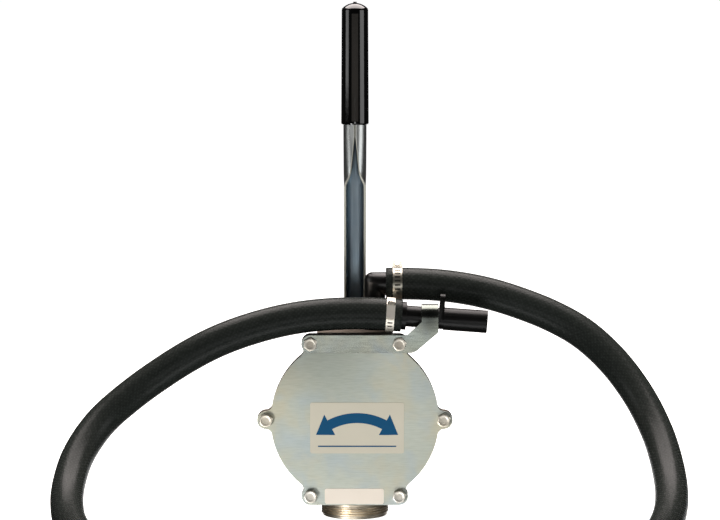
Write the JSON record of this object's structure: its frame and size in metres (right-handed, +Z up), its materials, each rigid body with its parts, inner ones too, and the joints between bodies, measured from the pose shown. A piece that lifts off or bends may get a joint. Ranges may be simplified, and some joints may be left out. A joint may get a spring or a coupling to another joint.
{
  "type": "hand transfer pump",
  "caption": "Drum-mounted hand pump: a rocking lever turns a wing with flap valves in a round bolted casing; elbow outlet, rubber hose and a spout parked in a clip.",
  "frame": {"origin": "middle of the foot of the bung thread", "axes": "+Z up along the thread and the lever at rest, cover plate faces -Y, +X to the right when facing the cover"},
  "size_m": [0.554, 0.5895, 0.4612],
  "materials": {
    "cast_casing": "as cast, satin",
    "cast_adapter": "cast and cut thread",
    "plated_plate": "zinc plated, satin",
    "plated_strip": "zinc plated, satin",
    "plated_bolt": "zinc plated, bright",
    "clamp_steel": "bright strip",
    "decal": "satin film",
    "label": "matt film",
    "gasket": "fibre sheet",
    "seal_rubber": "matt",
    "bright_steel": "ground",
    "bronze": "turned",
    "wing_metal": "die cast",
    "flap_metal": "stamped",
    "black_plastic": "moulded, semi gloss",
    "hose_rubber": "cloth-wrapped, satin",
    "tie_plastic": "strap",
    "lever_steel": "bright, blue-grey",
    "grip_vinyl": "dipped vinyl, semi gloss"
  },
  "bodies": {
    "pump": {"casing": "cast_casing", "bung_adapter": "cast_adapter", "cover_plate": "plated_plate", "nozzle_clip": "plated_strip", "cover_bolts": "plated_bolt", "clip_bolts": "plated_bolt", "bridge_screws": "plated_bolt", "clamp_screws": "plated_bolt", "outlet_clamp": "clamp_steel", "nozzle_clamp": "clamp_steel", "front_decal": "decal", "plain_label": "label", "cover_gasket": "gasket", "adapter_gasket": "gasket", "outlet_seal": "seal_rubber", "shaft_packing": "seal_rubber", "inlet_flap_pins": "bright_steel", "shaft_bush": "bronze", "gland_nut": "bronze", "inlet_bridge": "wing_metal", "outlet_elbow": "black_plastic", "nozzle_spout": "black_plastic", "hose_outlet_run": "hose_rubber", "hose_coil": "hose_rubber", "hose_nozzle_run": "hose_rubber", "hose_tie": "tie_plastic"},
    "rocker": {"drive_shaft": "bright_steel", "wing": "wing_metal", "wing_pin": "bright_steel", "wing_tip_seals": "seal_rubber", "wing_flap_pins": "bright_steel", "lever_arm": "lever_steel", "lever_washer": "plated_bolt", "lever_nut": "plated_bolt", "lever_grip": "grip_vinyl"},
    "wing_flap_left": {"wing_flap_left": "flap_metal"},
    "wing_flap_right": {"wing_flap_right": "flap_metal"},
    "inlet_flap_left": {"inlet_flap_left": "flap_metal"},
    "inlet_flap_right": {"inlet_flap_right": "flap_metal"}
  },
  "joints": [
    {"name": "lever_swing", "type": "hinge", "parent": "pump", "child": "rocker", "pos_m": [0, 0, 0.09], "axis": [0, 1, 0], "range_deg": [-30, 30]},
    {"name": "wing_flap_left_lift", "type": "hinge", "parent": "rocker", "child": "wing_flap_left", "pos_m": [-0.023, 0, 0.0973], "axis": [0, 1, 0], "range_deg": [0, 30]},
    {"name": "wing_flap_right_lift", "type": "hinge", "parent": "rocker", "child": "wing_flap_right", "pos_m": [0.023, 0, 0.0973], "axis": [0, -1, 0], "range_deg": [0, 30]},
    {"name": "inlet_flap_left_lift", "type": "hinge", "parent": "pump", "child": "inlet_flap_left", "pos_m": [-0.01689, 0, 0.06632], "axis": [0, 1, 0], "range_deg": [0, 25]},
    {"name": "inlet_flap_right_lift", "type": "hinge", "parent": "pump", "child": "inlet_flap_right", "pos_m": [0.01689, 0, 0.06632], "axis": [0, -1, 0], "range_deg": [0, 25]}
  ]
}
